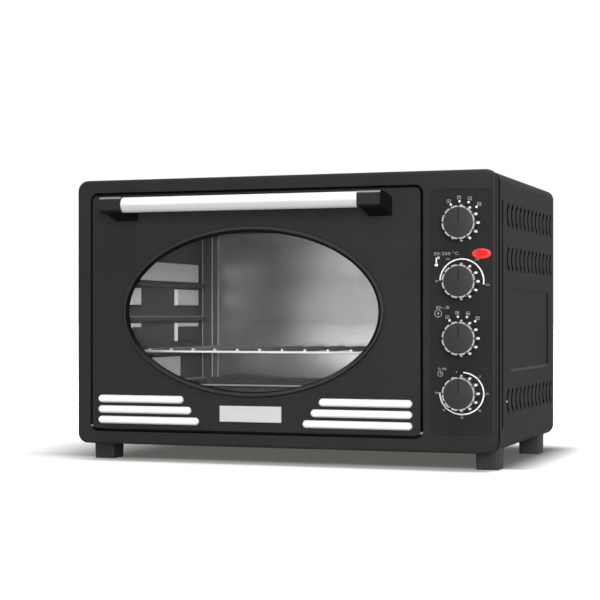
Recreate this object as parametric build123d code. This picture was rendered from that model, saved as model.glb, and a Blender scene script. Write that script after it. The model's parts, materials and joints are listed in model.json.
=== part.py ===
from build123d import *
import math
import os

# A counter-top toaster oven. Sizes are millimetres.
# While it is drawn, y runs back from the front face and z runs up from the case bottom.
# On export the part is shifted so that it stands on z = 0 with its box centred on the z axis.

# Case
case_w = 522.0
case_h = 320.0
case_d = 340.0
case_corner_r = 13.0
inner_corner_r = 3.0
foot_h = 21.0

# Front frame
frame_t = 2.0
frame_side_d = 8.0
frame_edge_r = 4.0
opening_edge_r = 1.0
opening_return_d = 22.0
spigot_in = 4.5
spigot_lap = 8.0
spigot_gap = 0.2
rib_l = 6.0

# Outer cover
cover_t = 1.0
cover_inset = 1.0
cover_groove = 14.0
cover_bottom_flange = 36.0
cover_rear_flange = 14.0
side_field_y = (76.0, case_d - 36.0)
side_field_z = (90.0, case_h - 133.0)
side_field_r = 6.0
side_field_depth = 1.5
side_field_slope = 3.0
side_line_y = 35.2
side_line_z = (26.0, case_h - 32.5)
side_line_w = 6.5
side_line_depth = 2.2
vent_count = 12
vent_first_y = 64.0
vent_back_margin = 22.8
vent_rows_z = (case_h - 48.4, case_h - 99.0, 57.0)
vent_h = 23.0
vent_w = 6.0
vent_bow = 7.5

# Rear panel
rear_t = 1.0
rear_inset = 5.0
rear_vent_count = 14
rear_vent_pitch = 16.0
rear_vent_w = 4.0
rear_vent_h = 46.0
rear_vents_z = (case_h - 84.0, 96.0)
rear_screw_columns = 3
rear_screw_rows = 2
screw_r = 2.0
screw_head_r = 4.0
screw_head_h = 2.0

# Base plate and feet
base_t = 1.2
base_gap = 1.0
foot_w = 27.4
foot_l = 30.2
foot_corner_r = 3.0
foot_taper_deg = 2.0
foot_wrap = 4.5
foot_in_x = 5.4
foot_front_y = 34.7
foot_rear_margin = 40.4
foot_screw_l = 16.0

# Door
door_left_margin = 20.5
control_column_w = 88.5
door_bottom_z = 18.4
door_top_margin = 19.1
door_gap = 3.2
door_corner_r = 6.0
door_t = 20.5
door_skin = 1.5
door_edge_r = 1.2
liner_t = 1.2
liner_margin = 1.0
hinge_up = 3.1
hinge_back = 3.5
pin_r = 2.0
pin_clearance = 0.05
pin_past_wall = 3.0
pin_in_door = 6.0
hinge_boss_r = 2.9

# Oval window
glass_w_share = 0.7637
glass_h_share = 0.6662
bead_w = 6.3
bead_proud = 3.0
bead_round = 1.4
bead_inner_round = 1.2
bezel_spigot_w = 3.0
bezel_clearance = 0.1
glass_t = 4.0
glass_lap = 15.0
collar_in = 12.5
collar_t = 1.5

# Handle
handle_below_top = 14.6
handle_r = 9.0
handle_reach = 48.5
handle_end_margin = 60.5
handle_wall = 1.5
bracket_l = 27.5
bracket_base_low = 16.8
bracket_base_high = 4.5
bracket_cap = 0.5
bracket_nose_r = 5.0
bracket_nose_d = 19.0
socket_d = 10.0
handle_screw_l = 14.0

# Trim bars and plate
trim_side = 9.0
trim_h = 9.3
trim_proud = 4.0
trim_round = 3.0
trim_pitch = 12.75
trim_up = 10.9
trim_low_share = 0.3196
trim_step = 10.0
trim_rows = 3
plate_w = 77.7
plate_h = 18.9
plate_t = 1.5
plate_up = 21.0
plate_corner_r = 1.0

# Control panel
panel_x = (case_w / 2 - 76.0, case_w / 2 - 5.0)
panel_z = (20.4, case_h - 22.0)
panel_r = 5.0
panel_recess = 0.4
panel_lip = 4.0
panel_lip_t = 1.0
panel_gap = 0.15

# Knobs
knob_in = 40.0
knob_names = ("heat", "temperature", "function", "timer")
knob_shares = (0.8116, 0.6059, 0.4059, 0.2119)
knob_r = 19.0
knob_l = 16.4
knob_gap = 0.6
knob_dome = 0.8
flute_count = 12
flute_r = 1.55
rim_w = 1.8
rim_t = 1.2
ring_in_r = 12.0
ring_step = 0.4
ring_t = 2.2
ring_gap = 0.05
stud_gap = 0.1
stud_out = 0.6
pointer_w = 1.4
pointer_l = 13.0
pointer_depth = 0.8
shaft_r = 3.0
shaft_clearance = 0.05
shaft_in_knob = 12.0
shaft_in_body = 14.0
bush_r = 5.0

# Control bodies, as width, height and depth
control_sizes = ((42.0, 40.0, 30.0), (40.0, 44.0, 34.0), (42.0, 40.0, 30.0), (46.0, 52.0, 38.0))
control_corner_r = 4.0
control_screw_r = 1.5
control_screw_head_r = 2.6
control_screw_head_h = 1.0
control_screw_x = 14.0
control_screw_in = 6.0

# Pilot lamp
pilot_in = 17.2
pilot_share = 0.7034
pilot_w = 21.7
pilot_h = 11.3
pilot_proud = 2.4
pilot_round = 2.0
pilot_lip = 1.2
pilot_lip_t = 1.0
lamp_r = 3.5
lamp_l = 16.0

# Cavity
cavity_side_margin = 26.5
cavity_low_margin = 14.6
cavity_top_margin = 13.9
cavity_back_margin = 59.0
cavity_t = 1.0
flange_lap = 6.0
dish_margin = 14.9
dish_depth = 20.0
dish_r = 10.0
dish_edge_r = 0.9
dish_floor_r = 2.0
runner_shares = (0.1496, 0.3031, 0.4764, 0.6496)
runner_h = 5.0
runner_w = 9.0
runner_front_gap = 13.0
runner_back_gap = 9.0
pad_h = 5.7
pad_r = 1.0
pad_y_shares = ((0.0888, 0.195), (0.6293, 0.899))
pad_z_shares = ((0.3504, 0.4449), (0.5354, 0.6181))
band_y_shares = (0.1544, 0.899)
band_z_shares = (0.6575, 0.752)
low_pad_y_shares = (0.0888, 0.665)
low_pad_z_shares = (0.169, 0.272)

# Heaters
heater_r = 3.75
heater_clearance = 0.05
heater_y_shares = (0.2819, 0.7452)
heater_below_top = 20.0
heater_above_floor = 12.0
bush_spigot_r = 5.5
bush_flange_r = 7.5
bush_spigot_l = 3.0
bush_out_l = 9.0
terminal_r = 2.0
terminal_l = 10.0
heater_past_bush = 4.0

# Wire rack
rack_front_gap = 8.0
rack_back_gap = 13.0
rack_wire_r = 1.6
rack_cross_r = 1.3
rack_weld = 0.4
rack_cross_count = 11
rack_side_gap = 3.5
rack_corner_r = 14.0
rest_gap = 0.3

# Baking tray
tray_front_gap = 7.0
tray_back_gap = 10.0
tray_t = 1.0
tray_deep = 18.0
tray_rim_w = 13.0
tray_side_gap = 3.5
tray_corner_r = 12.0
tray_floor_round = 5.0

# Door arm and spring
arm_x_gap = 13.0
arm_t = 2.0
arm_r = 58.0
arm_w = 7.0
arm_front_lap_deg = 5.0
spring_floor_gap = 0.5
arm_slot_gap = 1.3
spring_wire_r = 0.7
spring_coil_r = 3.6
spring_turns = 18
spring_pitch = 4.6
spring_leg = 5.0
anchor_x = 1.5
anchor_t = 2.0
anchor_l = 10.0
anchor_lap = 1.5
anchor_h = 14.0

# Cord gland and terminal block
gland_in = 65.0
gland_z = 42.0
gland_r = 7.0
gland_bore_r = 3.6
gland_flange_r = 11.5
gland_flange_t = 3.0
gland_nut_r = 11.0
gland_nut_t = 5.0
terminal_w = 42.0
terminal_d = 18.0
terminal_h = 16.0
terminal_back_margin = 26.0
terminal_way_r = 2.5
terminal_ways = 3

# Places worked out from the sizes above
half_w = case_w / 2
cover_half_w = half_w - cover_inset
cover_front_y = frame_side_d + cover_groove
spigot_y = cover_front_y + spigot_lap
cover_back_y = case_d - rear_t
vent_pitch = (case_d - vent_first_y - vent_back_margin) / (vent_count - 1)
base_z = cover_inset + cover_t
foot_rear_y = case_d - foot_rear_margin - foot_l
door_w = case_w - door_left_margin - control_column_w
door_h = case_h - door_bottom_z - door_top_margin
door_x = (door_left_margin - control_column_w) / 2
door_top_z = door_bottom_z + door_h
door_left_x = door_x - door_w / 2
door_right_x = door_x + door_w / 2
hinge_z = door_bottom_z + hinge_up
liner_y = door_t - liner_t
glass_y = door_skin
glass_back_y = glass_y + glass_t
window_z = door_bottom_z + door_h / 2
glass_rx = door_w * glass_w_share / 2
glass_rz = door_h * glass_h_share / 2
handle_bar_l = door_w - 2 * handle_end_margin
handle_z = door_top_z - handle_below_top
handle_y = bracket_cap + handle_r - handle_reach
trim_low_z = door_bottom_z + trim_up
trim_low_l = door_w * trim_low_share
plate_z = door_bottom_z + plate_up
panel_y = panel_recess
panel_back_y = frame_t + panel_lip_t
knob_x = half_w - knob_in
knob_heights = tuple(case_h * share for share in knob_shares)
knob_back_y = panel_y - knob_gap
knob_front_y = knob_back_y - knob_l
pilot_x = half_w - pilot_in
pilot_z = case_h * pilot_share
lens_back_y = panel_back_y + pilot_lip_t
flange_y = opening_return_d
cavity_w = door_w - 2 * cavity_side_margin
cavity_left_x = door_x - cavity_w / 2
cavity_right_x = door_x + cavity_w / 2
cavity_floor_z = door_bottom_z + cavity_low_margin
cavity_top_z = door_top_z - cavity_top_margin
cavity_back_y = case_d - cavity_back_margin
rack_cross_pitch = cavity_w / (rack_cross_count + 1.5)
arm_x = cavity_right_x + arm_x_gap
spring_z = base_z + base_t + spring_coil_r + spring_wire_r + spring_floor_gap
arm_end_deg = math.degrees(math.asin((spring_z - hinge_z) / arm_r))
gland_x = half_w - gland_in
terminal_y = case_d - terminal_back_margin - terminal_d
total_d = handle_reach + case_d + gland_flange_t
front_y = handle_reach - total_d / 2


def cavity_y(share):
    """A place along the cavity's depth, as a share of it."""
    return flange_y + share * (cavity_back_y - flange_y)


def cavity_z(share):
    """A place up the cavity, as a share of its height."""
    return cavity_floor_z + share * (cavity_top_z - cavity_floor_z)


def block(x0, x1, y0, y1, z0, z1):
    """A box between two corners."""
    middle = Pos((x0 + x1) / 2, (y0 + y1) / 2, (z0 + z1) / 2)
    return middle * Box(x1 - x0, y1 - y0, z1 - z0)


def along_y(outline, y0, y1):
    """An outline drawn in x and z, extruded from y0 to y1."""
    plane = Plane(origin=(0, y0, 0), x_dir=(1, 0, 0), z_dir=(0, -1, 0))
    return extrude(plane * outline, amount=y0 - y1)


def along_x(outline, x0, x1, slope=0):
    """An outline drawn in y and z, extruded from x0 to x1 and drawn in by slope on the way."""
    plane = Plane(origin=(x0, 0, 0), x_dir=(0, 1, 0), z_dir=(1, 0, 0))
    taper = math.degrees(math.atan2(slope, abs(x1 - x0)))
    return extrude(plane * outline, amount=x1 - x0, taper=taper)


def rod_x(r, x0, x1, y, z):
    return Pos((x0 + x1) / 2, y, z) * Rot(0, 90, 0) * Cylinder(r, x1 - x0)


def rod_y(r, x, y0, y1, z):
    return Pos(x, (y0 + y1) / 2, z) * Rot(90, 0, 0) * Cylinder(r, y1 - y0)


def rod_z(r, x, y, z0, z1):
    return Pos(x, y, (z0 + z1) / 2) * Cylinder(r, z1 - z0)


def rounded(x0, x1, z0, z1, r):
    """A rounded rectangle between two corners of its plane."""
    return Pos((x0 + x1) / 2, (z0 + z1) / 2) * RectangleRounded(x1 - x0, z1 - z0, r)


def case_outline(inset):
    """The case's rounded outline, drawn in by inset."""
    r = max(case_corner_r - inset, inner_corner_r)
    return rounded(inset - half_w, half_w - inset, inset, case_h - inset, r)


def door_outline(grow):
    """The door's rounded outline, grown by grow."""
    return rounded(door_left_x - grow, door_right_x + grow, door_bottom_z - grow, door_top_z + grow,
                   door_corner_r + grow)


def oval(grow):
    """The window's oval, grown by grow."""
    return Pos(door_x, window_z) * Ellipse(glass_rx + grow, glass_rz + grow)


def front_edges(part):
    """The outer edge loop of a part's foremost face."""
    return part.faces().sort_by(Axis.Y)[0].outer_wire().edges()


def make_front_frame():
    face = along_y(case_outline(0), 0, frame_side_d)
    face = fillet(front_edges(face), frame_edge_r)
    face -= along_y(case_outline(frame_t), frame_t, frame_side_d)
    spigot = along_y(case_outline(spigot_in), frame_t, spigot_y)
    spigot += along_y(case_outline(cover_inset + cover_t + spigot_gap), spigot_y - rib_l, spigot_y)
    spigot -= along_y(case_outline(spigot_in + frame_t), frame_t, spigot_y)
    room = panel_lip + panel_gap
    spigot -= block(knob_x, half_w, frame_t, lens_back_y + panel_gap, panel_z[0] - room, panel_z[1] + room)
    surround = along_y(door_outline(door_gap + frame_t), frame_t, opening_return_d)
    frame = face + spigot + surround - along_y(door_outline(door_gap), 0, opening_return_d)
    frame = fillet(frame.faces().sort_by(Axis.Y)[0].inner_wires()[0].edges(), opening_edge_r)
    window = rounded(panel_x[0], panel_x[1], panel_z[0], panel_z[1], panel_r)
    frame -= along_y(window, 0, frame_t)
    return frame - make_hinge_pins()


def hinge_rods(r):
    """The two hinge pins, from past the frame's walls to inside the door."""
    reach = door_gap + frame_t + pin_past_wall
    left = rod_x(r, door_left_x - reach, door_left_x + pin_in_door, hinge_back, hinge_z)
    return left + rod_x(r, door_right_x - pin_in_door, door_right_x + reach, hinge_back, hinge_z)


def make_hinge_pins():
    return hinge_rods(pin_r)


def make_control_panel():
    x0, x1 = panel_x
    z0, z1 = panel_z
    inner = rounded(x0 + panel_gap, x1 - panel_gap, z0 + panel_gap, z1 - panel_gap, panel_r - panel_gap)
    lip = rounded(x0 - panel_lip, panel_edge_x(), z0 - panel_lip, z1 + panel_lip, panel_r + panel_lip)
    panel = along_y(inner, panel_y, panel_back_y)
    panel += along_y(lip, frame_t, frame_t + panel_lip_t)
    panel -= along_y(door_outline(door_gap + frame_t + panel_gap), 0, panel_back_y)
    for z in knob_heights:
        panel -= rod_y(bush_r, knob_x, panel_y, panel_back_y, z)
        panel -= control_screw_pair(z)
    return panel - along_y(pilot_outline(0), panel_y, panel_back_y)


def panel_edge_x():
    """The control panel's right edge, inside the front frame's rim."""
    return min(panel_x[1] + panel_lip, half_w - frame_t - panel_gap)


def vent_slots():
    """One side's vents, each a slot bowed towards the front."""
    bow = ThreePointArc((vent_bow, -vent_h / 2), (0, 0), (vent_bow, vent_h / 2))
    slot = SlotArc(bow, vent_w)
    places = [(vent_first_y + i * vent_pitch, z) for z in vent_rows_z for i in range(vent_count)]
    return Sketch() + [Pos(y - vent_bow / 2, z) * slot for y, z in places]


def make_outer_cover():
    shell = along_y(case_outline(cover_inset), cover_front_y, cover_back_y)
    inner = case_outline(cover_inset + cover_t)
    shell -= along_y(inner, cover_front_y, cover_back_y - cover_t)
    shell -= along_y(case_outline(cover_inset + cover_rear_flange), cover_back_y - cover_t, cover_back_y)
    floor_gap = cover_half_w - cover_bottom_flange
    shell -= block(-floor_gap, floor_gap, cover_front_y, cover_back_y - cover_t, 0, base_z)
    field = (*side_field_y, *side_field_z)
    line = (side_line_y - side_line_w / 2, side_line_y + side_line_w / 2, *side_line_z)
    dents = ((field, side_field_depth, side_field_r, side_field_slope),
             (line, side_line_depth, side_line_w / 2, 0))
    for outline, depth, r, slope in dents:
        y0, y1, z0, z1 = outline
        back = rounded(y0 - cover_t, y1 + cover_t, z0 - cover_t, z1 + cover_t, r + cover_t * 0.9)
        dent = rounded(y0, y1, z0, z1, r * 0.99)
        inside = cover_half_w - cover_t - depth
        outside = cover_half_w - depth
        shell += along_x(back, inside, cover_half_w - cover_t)
        shell += along_x(back, cover_t - cover_half_w, -inside)
        shell -= along_x(dent, cover_half_w, outside, slope)
        shell -= along_x(dent, -cover_half_w, -outside, slope)
    shell -= along_x(vent_slots(), -cover_half_w, cover_half_w)
    for x, z in rear_screw_places():
        shell -= rod_y(screw_r, x, cover_back_y - cover_t, cover_back_y, z)
    return shell


def rear_screw_places():
    """Screws round the rear panel's edge, in x and z."""
    in_x = half_w - cover_inset - (cover_rear_flange + rear_inset) / 2
    in_z = cover_inset + (cover_rear_flange + rear_inset) / 2
    columns = [in_x * (2 * i / (rear_screw_columns - 1) - 1) for i in range(rear_screw_columns)]
    rows = [in_z + (case_h - 2 * in_z) * (i + 1) / (rear_screw_rows + 1) for i in range(rear_screw_rows)]
    top_and_bottom = [(x, z) for x in columns for z in (in_z, case_h - in_z)]
    sides = [(side * in_x, z) for z in rows for side in (-1, 1)]
    return top_and_bottom + sides


def make_rear_panel():
    panel = along_y(case_outline(rear_inset), case_d - rear_t, case_d)
    vents = Sketch()
    for z in rear_vents_z:
        for i in range(rear_vent_count):
            x = (i - (rear_vent_count - 1) / 2) * rear_vent_pitch
            vents += Pos(x, z) * SlotOverall(rear_vent_h, rear_vent_w, rotation=90)
    panel -= along_y(vents, case_d - rear_t, case_d)
    panel -= rod_y(gland_r, gland_x, case_d - rear_t, case_d, gland_z)
    for x, z in rear_screw_places():
        panel -= rod_y(screw_r, x, case_d - rear_t, case_d, z)
    return panel


def make_rear_screws():
    screws = Part()
    for x, z in rear_screw_places():
        screws += rod_y(screw_r, x, cover_back_y - cover_t, case_d, z)
        screws += rod_y(screw_head_r, x, case_d, case_d + screw_head_h, z)
    return screws


def foot_places():
    """Each foot's name and middle, in x and y."""
    x = half_w - foot_in_x - foot_w / 2
    rows = (("front", foot_front_y + foot_l / 2), ("rear", foot_rear_y + foot_l / 2))
    sides = (("left", -1), ("right", 1))
    return [(f"foot_{row}_{side}", sign * x, y) for row, y in rows for side, sign in sides]


def make_foot(x, y):
    top_z = cover_inset + foot_wrap
    top = Plane(origin=(x, y, top_z)) * RectangleRounded(foot_w, foot_l, foot_corner_r)
    foot = extrude(top, amount=-(foot_h + top_z), taper=foot_taper_deg)
    foot -= along_y(case_outline(cover_inset), y - foot_l, y + foot_l)
    return foot - rod_z(screw_r, x, y, cover_inset + cover_t + base_t - foot_screw_l, cover_inset)


def make_foot_screws():
    screws = Part()
    top = base_z + base_t
    for _, x, y in foot_places():
        screws += rod_z(screw_r, x, y, top - foot_screw_l, top)
        screws += rod_z(screw_head_r, x, y, top, top + screw_head_h)
    return screws


def make_base_plate():
    flat = cover_half_w - case_corner_r - base_gap
    y1 = cover_back_y - cover_t - base_gap
    plate = block(-flat, flat, spigot_y, y1, base_z, base_z + base_t)
    for _, x, y in foot_places():
        plate -= rod_z(screw_r, x, y, base_z, base_z + base_t)
    end, leaving = spring_points()[-1]
    x0 = arm_x + anchor_x
    plate += block(x0, x0 + anchor_t, end.Y - anchor_lap, end.Y + anchor_l,
                   base_z + base_t, base_z + anchor_h)
    hole = Plane(origin=end, z_dir=leaving) * Circle(spring_wire_r)
    return plate - extrude(hole, amount=spring_leg)


def foot_screw_holes(part):
    for _, x, y in foot_places():
        part -= rod_z(screw_r, x, y, cover_inset, base_z)
    return part


def make_door_panel():
    body = along_y(door_outline(0), 0, liner_y)
    body = fillet(front_edges(body), door_edge_r)
    panel = body - along_y(door_outline(-door_skin), door_skin, liner_y)
    panel += hinge_rods(hinge_boss_r) & body
    panel -= hinge_rods(pin_r + pin_clearance)
    panel -= along_y(oval(bezel_spigot_w + bezel_clearance), 0, door_skin)
    for x, z in handle_screw_places():
        panel -= rod_y(screw_r, x, 0, door_skin, z)
    return panel


def make_window_bezel():
    bead = along_y(oval(bead_w), -bead_proud, 0)
    bead = fillet(front_edges(bead), bead_round)
    bead += along_y(oval(bezel_spigot_w), 0, glass_y)
    bead -= along_y(oval(0), -bead_proud, glass_y)
    inner = bead.faces().sort_by(Axis.Y)[0].inner_wires()[0]
    return fillet(inner.edges(), bead_inner_round)


def make_door_glass():
    return along_y(oval(glass_lap), glass_y, glass_back_y)


def make_door_liner():
    liner = along_y(door_outline(-liner_margin), liner_y, door_t)
    liner += along_y(oval(collar_in + collar_t), glass_back_y, liner_y)
    return liner - along_y(oval(collar_in), glass_back_y, door_t)


def bracket_middles():
    """The middle of each handle bracket, in x."""
    reach = (handle_bar_l + bracket_l) / 2
    return (door_x - reach, door_x + reach)


def handle_screw_places():
    z = handle_z + (bracket_base_high - bracket_base_low) / 2
    offset = bracket_l / 4
    return [(x + side * offset, z) for x in bracket_middles() for side in (-1, 1)]


def make_handle_bar():
    half = handle_bar_l / 2 + socket_d
    bar = rod_x(handle_r, door_x - half, door_x + half, handle_y, handle_z)
    return bar - rod_x(handle_r - handle_wall, door_x - half, door_x + half, handle_y, handle_z)


def make_handle_bracket(x, inward):
    low = handle_z - handle_r - bracket_cap
    high = handle_z + handle_r + bracket_cap
    nose = -handle_reach
    neck = nose + bracket_nose_d
    foot = (handle_z - bracket_base_low, handle_z + bracket_base_high)
    corners = ((0, foot[0]), (0, foot[1]), (neck, high), (nose, high), (nose, low), (neck, low))
    side = make_face(Polyline(*corners, close=True))
    tips = side.vertices().filter_by(lambda v: v.X < nose + bracket_cap / 2)
    side = fillet(tips, bracket_nose_r)
    bracket = along_x(side, x - bracket_l / 2, x + bracket_l / 2)
    inner = x + inward * bracket_l / 2
    depth = inner - inward * socket_d
    bracket -= rod_x(handle_r, min(inner, depth), max(inner, depth), handle_y, handle_z)
    for sx, sz in handle_screw_places():
        if abs(sx - x) < bracket_l / 2:
            bracket -= rod_y(screw_r, sx, -handle_screw_l, 0, sz)
    return bracket


def make_handle_screws():
    screws = Part()
    for x, z in handle_screw_places():
        screws += rod_y(screw_r, x, -handle_screw_l, door_skin, z)
        screws += rod_y(screw_head_r, x, door_skin, door_skin + screw_head_h, z)
    return screws


def make_trim_bars(side):
    """Three stepped bars; side is -1 for the left group and 1 for the right."""
    bars = Part()
    outer = door_x + side * (door_w / 2 - trim_side)
    for row in range(trim_rows):
        length = trim_low_l - row * trim_step
        outline = Pos(outer - side * length / 2, trim_low_z + row * trim_pitch) * SlotOverall(length, trim_h)
        bar = along_y(outline, -trim_proud, 0)
        bars += fillet(front_edges(bar), trim_round)
    return bars


def make_name_plate():
    outline = Pos(door_x, plate_z) * RectangleRounded(plate_w, plate_h, plate_corner_r)
    plate = along_y(outline, -plate_t, 0)
    return chamfer(front_edges(plate), plate_t / 3)


def make_knob():
    """A fluted knob about z = 0; the four knobs are alike."""
    grip = rod_y(knob_r, knob_x, knob_front_y, knob_back_y, 0)
    face_r = knob_r - rim_w
    sphere_r = (face_r ** 2 + knob_dome ** 2) / (2 * knob_dome)
    cap = rod_y(face_r, knob_x, knob_front_y - knob_dome, knob_front_y, 0)
    cap &= Pos(knob_x, knob_front_y - knob_dome + sphere_r, 0) * Sphere(sphere_r)
    grip += cap
    grip -= rim_ring()
    grip -= base_ring(ring_gap)
    grip -= flutes()
    grip -= rod_y(shaft_r, knob_x, knob_back_y - shaft_in_knob, knob_back_y, 0)
    slot = Pos(knob_x, pointer_l / 2) * Rectangle(pointer_w, pointer_l)
    grip -= along_y(slot, knob_front_y - knob_dome, knob_front_y - knob_dome + pointer_depth)
    return grip


def round_the_knob(r, y0, y1, out=0):
    """Rods of radius r round the knob, one for each groove and out from its edge by out."""
    rods = Part()
    for i in range(flute_count):
        angle = 2 * math.pi * i / flute_count
        reach = knob_r + out
        rods += rod_y(r, knob_x + reach * math.sin(angle), y0, y1, reach * math.cos(angle))
    return rods


def flutes():
    """The knob's grooves."""
    return round_the_knob(flute_r, knob_front_y, knob_back_y)


def rim_ring():
    rim = rod_y(knob_r, knob_x, knob_front_y, knob_front_y + rim_t, 0)
    return rim - rod_y(knob_r - rim_w, knob_x, knob_front_y, knob_front_y + rim_t, 0)


def base_ring(gap):
    """The ring at the knob's base; gap makes the room for it a little larger."""
    front = knob_back_y - ring_t
    ring = rod_y(knob_r - ring_step + gap, knob_x, front, knob_back_y, 0)
    return ring - rod_y(ring_in_r - gap, knob_x, front, knob_back_y, 0)


def make_knob_trim():
    """The silver rim on the knob's front edge and the ring at its base, with a stud in each groove."""
    studs = round_the_knob(flute_r - stud_gap, knob_back_y - ring_t, knob_back_y, stud_out)
    return rim_ring() - flutes() + base_ring(0) + studs


def make_shaft():
    return rod_y(shaft_r, knob_x, knob_back_y - shaft_in_knob, panel_back_y + shaft_in_body, 0)


def make_control(z, size):
    w, h, d = size
    body = along_y(Pos(knob_x, z) * RectangleRounded(w, h, control_corner_r), panel_back_y, panel_back_y + d)
    body += rod_y(bush_r, knob_x, panel_y, panel_back_y, z)
    body -= rod_y(shaft_r + shaft_clearance, knob_x, panel_y, panel_back_y + shaft_in_body + knob_gap, z)
    return body - control_screw_pair(z)


def control_screw_pair(z):
    """The two screws of one control; their heads lie flush in the panel behind the knob."""
    pair = Part()
    for side in (-1, 1):
        x = knob_x + side * control_screw_x
        pair += rod_y(control_screw_r, x, panel_y, panel_back_y + control_screw_in, z)
        pair += rod_y(control_screw_head_r, x, panel_y, panel_y + control_screw_head_h, z)
    return pair


def pilot_outline(grow):
    """The pilot lens's oval, grown by grow."""
    return Pos(pilot_x, pilot_z) * Ellipse(pilot_w / 2 + grow, pilot_h / 2 + grow)


def make_pilot_lens():
    lens = along_y(pilot_outline(0), panel_y - pilot_proud, panel_back_y)
    lens = fillet(front_edges(lens), pilot_round)
    return lens + along_y(pilot_outline(pilot_lip), panel_back_y, lens_back_y)


def make_pilot_lamp():
    return rod_y(lamp_r, pilot_x, lens_back_y, lens_back_y + lamp_l, pilot_z)


def flange_edges():
    """How far the cavity's front flanges reach past the opening's walls."""
    grow = door_gap + frame_t + flange_lap
    low_z = door_bottom_z - grow + frame_t
    high_z = door_top_z + grow - frame_t
    return (door_left_x - grow, door_right_x + grow, low_z, high_z)


def heater_places():
    """Each heater's name and place, in y and z."""
    rows = (("upper", cavity_top_z - heater_below_top), ("lower", cavity_floor_z + heater_above_floor))
    columns = [(name, cavity_y(share)) for name, share in zip(("front", "rear"), heater_y_shares)]
    return [(f"{row}_heater_{column}", y, z) for row, z in rows for column, y in columns]


def make_cavity_wall(side):
    """A stamped side wall; side is -1 for the left and 1 for the right."""
    low_x, high_x, low_z, high_z = flange_edges()
    face = cavity_right_x if side > 0 else cavity_left_x
    out = face + side * cavity_t
    edge = high_x if side > 0 else low_x
    back = cavity_back_y + cavity_t

    def sheet(x0, x1, *rest):
        return block(min(x0, x1), max(x0, x1), *rest)

    wall = sheet(face, out, flange_y, back, cavity_floor_z, cavity_top_z)
    wall += sheet(face, edge, flange_y, flange_y + cavity_t, low_z, high_z)
    y0 = flange_y + runner_front_gap
    y1 = cavity_back_y - runner_back_gap
    for top in runner_tops():
        wall += sheet(face, face - side * runner_w, y0, y1, top - runner_h, top)
    pads = [(y, z) for y in pad_y_shares for z in pad_z_shares]
    pads += [(band_y_shares, band_z_shares), (low_pad_y_shares, low_pad_z_shares)]
    for ys, zs in pads:
        pad = sheet(face, face - side * pad_h, *map(cavity_y, ys), *map(cavity_z, zs))
        crest = pad.faces().sort_by(Axis.X)[0 if side > 0 else -1]
        wall += fillet(crest.edges(), pad_r)
    for _, y, z in heater_places():
        wall -= rod_x(bush_spigot_r, min(face, out), max(face, out), y, z)
    if side > 0:
        wall -= arm_slot()
    return wall


def runner_tops():
    """The height of each runner's upper face, from the lowest up."""
    return [cavity_z(share) for share in runner_shares]


def arm_slot():
    """The slot that the door arm slides through in the right wall's flange."""
    near = flange_y - hinge_back
    far = near + cavity_t
    low = math.sqrt((arm_r - arm_w / 2) ** 2 - far ** 2) - arm_slot_gap
    high = math.sqrt((arm_r + arm_w / 2) ** 2 - near ** 2) + arm_slot_gap
    half = arm_t / 2 + arm_slot_gap
    return block(arm_x - half, arm_x + half, flange_y, flange_y + cavity_t, hinge_z + low, hinge_z + high)


def make_cavity_top():
    _, _, _, high_z = flange_edges()
    back = cavity_back_y + cavity_t
    top = block(cavity_left_x - cavity_t, cavity_right_x + cavity_t, flange_y + cavity_t, back,
                cavity_top_z, cavity_top_z + cavity_t)
    return top + block(cavity_left_x, cavity_right_x, flange_y, flange_y + cavity_t, cavity_top_z, high_z)


def make_cavity_floor():
    _, _, low_z, _ = flange_edges()
    back = cavity_back_y + cavity_t
    floor = block(cavity_left_x - cavity_t, cavity_right_x + cavity_t, flange_y + cavity_t, back,
                  cavity_floor_z - cavity_t, cavity_floor_z)
    return floor + block(cavity_left_x, cavity_right_x, flange_y, flange_y + cavity_t, low_z, cavity_floor_z)


def dish(grow):
    """The pressed-back middle of the cavity's rear sheet, grown by grow all round and in depth."""
    m = dish_margin - grow
    outline = rounded(cavity_left_x + m, cavity_right_x - m, cavity_floor_z + m, cavity_top_z - m,
                      dish_r + grow)
    box = along_y(outline, cavity_back_y, cavity_back_y + dish_depth + grow)
    return fillet(box.faces().sort_by(Axis.Y)[-1].edges(), dish_floor_r + grow)


def make_cavity_back():
    back = block(cavity_left_x, cavity_right_x, cavity_back_y, cavity_back_y + cavity_t,
                 cavity_floor_z, cavity_top_z)
    back += dish(cavity_t)
    back -= dish(0)
    rim = back.faces().sort_by(Axis.Y)[0].inner_wires()[0]
    return fillet(rim.edges(), dish_edge_r)


def make_heater(y, z):
    reach = cavity_t + bush_out_l + heater_past_bush
    x0 = cavity_left_x - reach
    x1 = cavity_right_x + reach
    heater = rod_x(heater_r, x0, x1, y, z)
    return heater + rod_x(terminal_r, x0 - terminal_l, x1 + terminal_l, y, z)


def make_heater_bushes():
    bushes = Part()
    for _, y, z in heater_places():
        for face, side in ((cavity_left_x, -1), (cavity_right_x, 1)):
            out = face + side * cavity_t
            inner = face - side * bush_spigot_l
            end = out + side * bush_out_l
            bush = rod_x(bush_spigot_r, min(inner, out), max(inner, out), y, z)
            bush += rod_x(bush_flange_r, min(out, end), max(out, end), y, z)
            bush -= rod_x(heater_r + heater_clearance, min(inner, end), max(inner, end), y, z)
            bushes += bush
    return bushes


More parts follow.
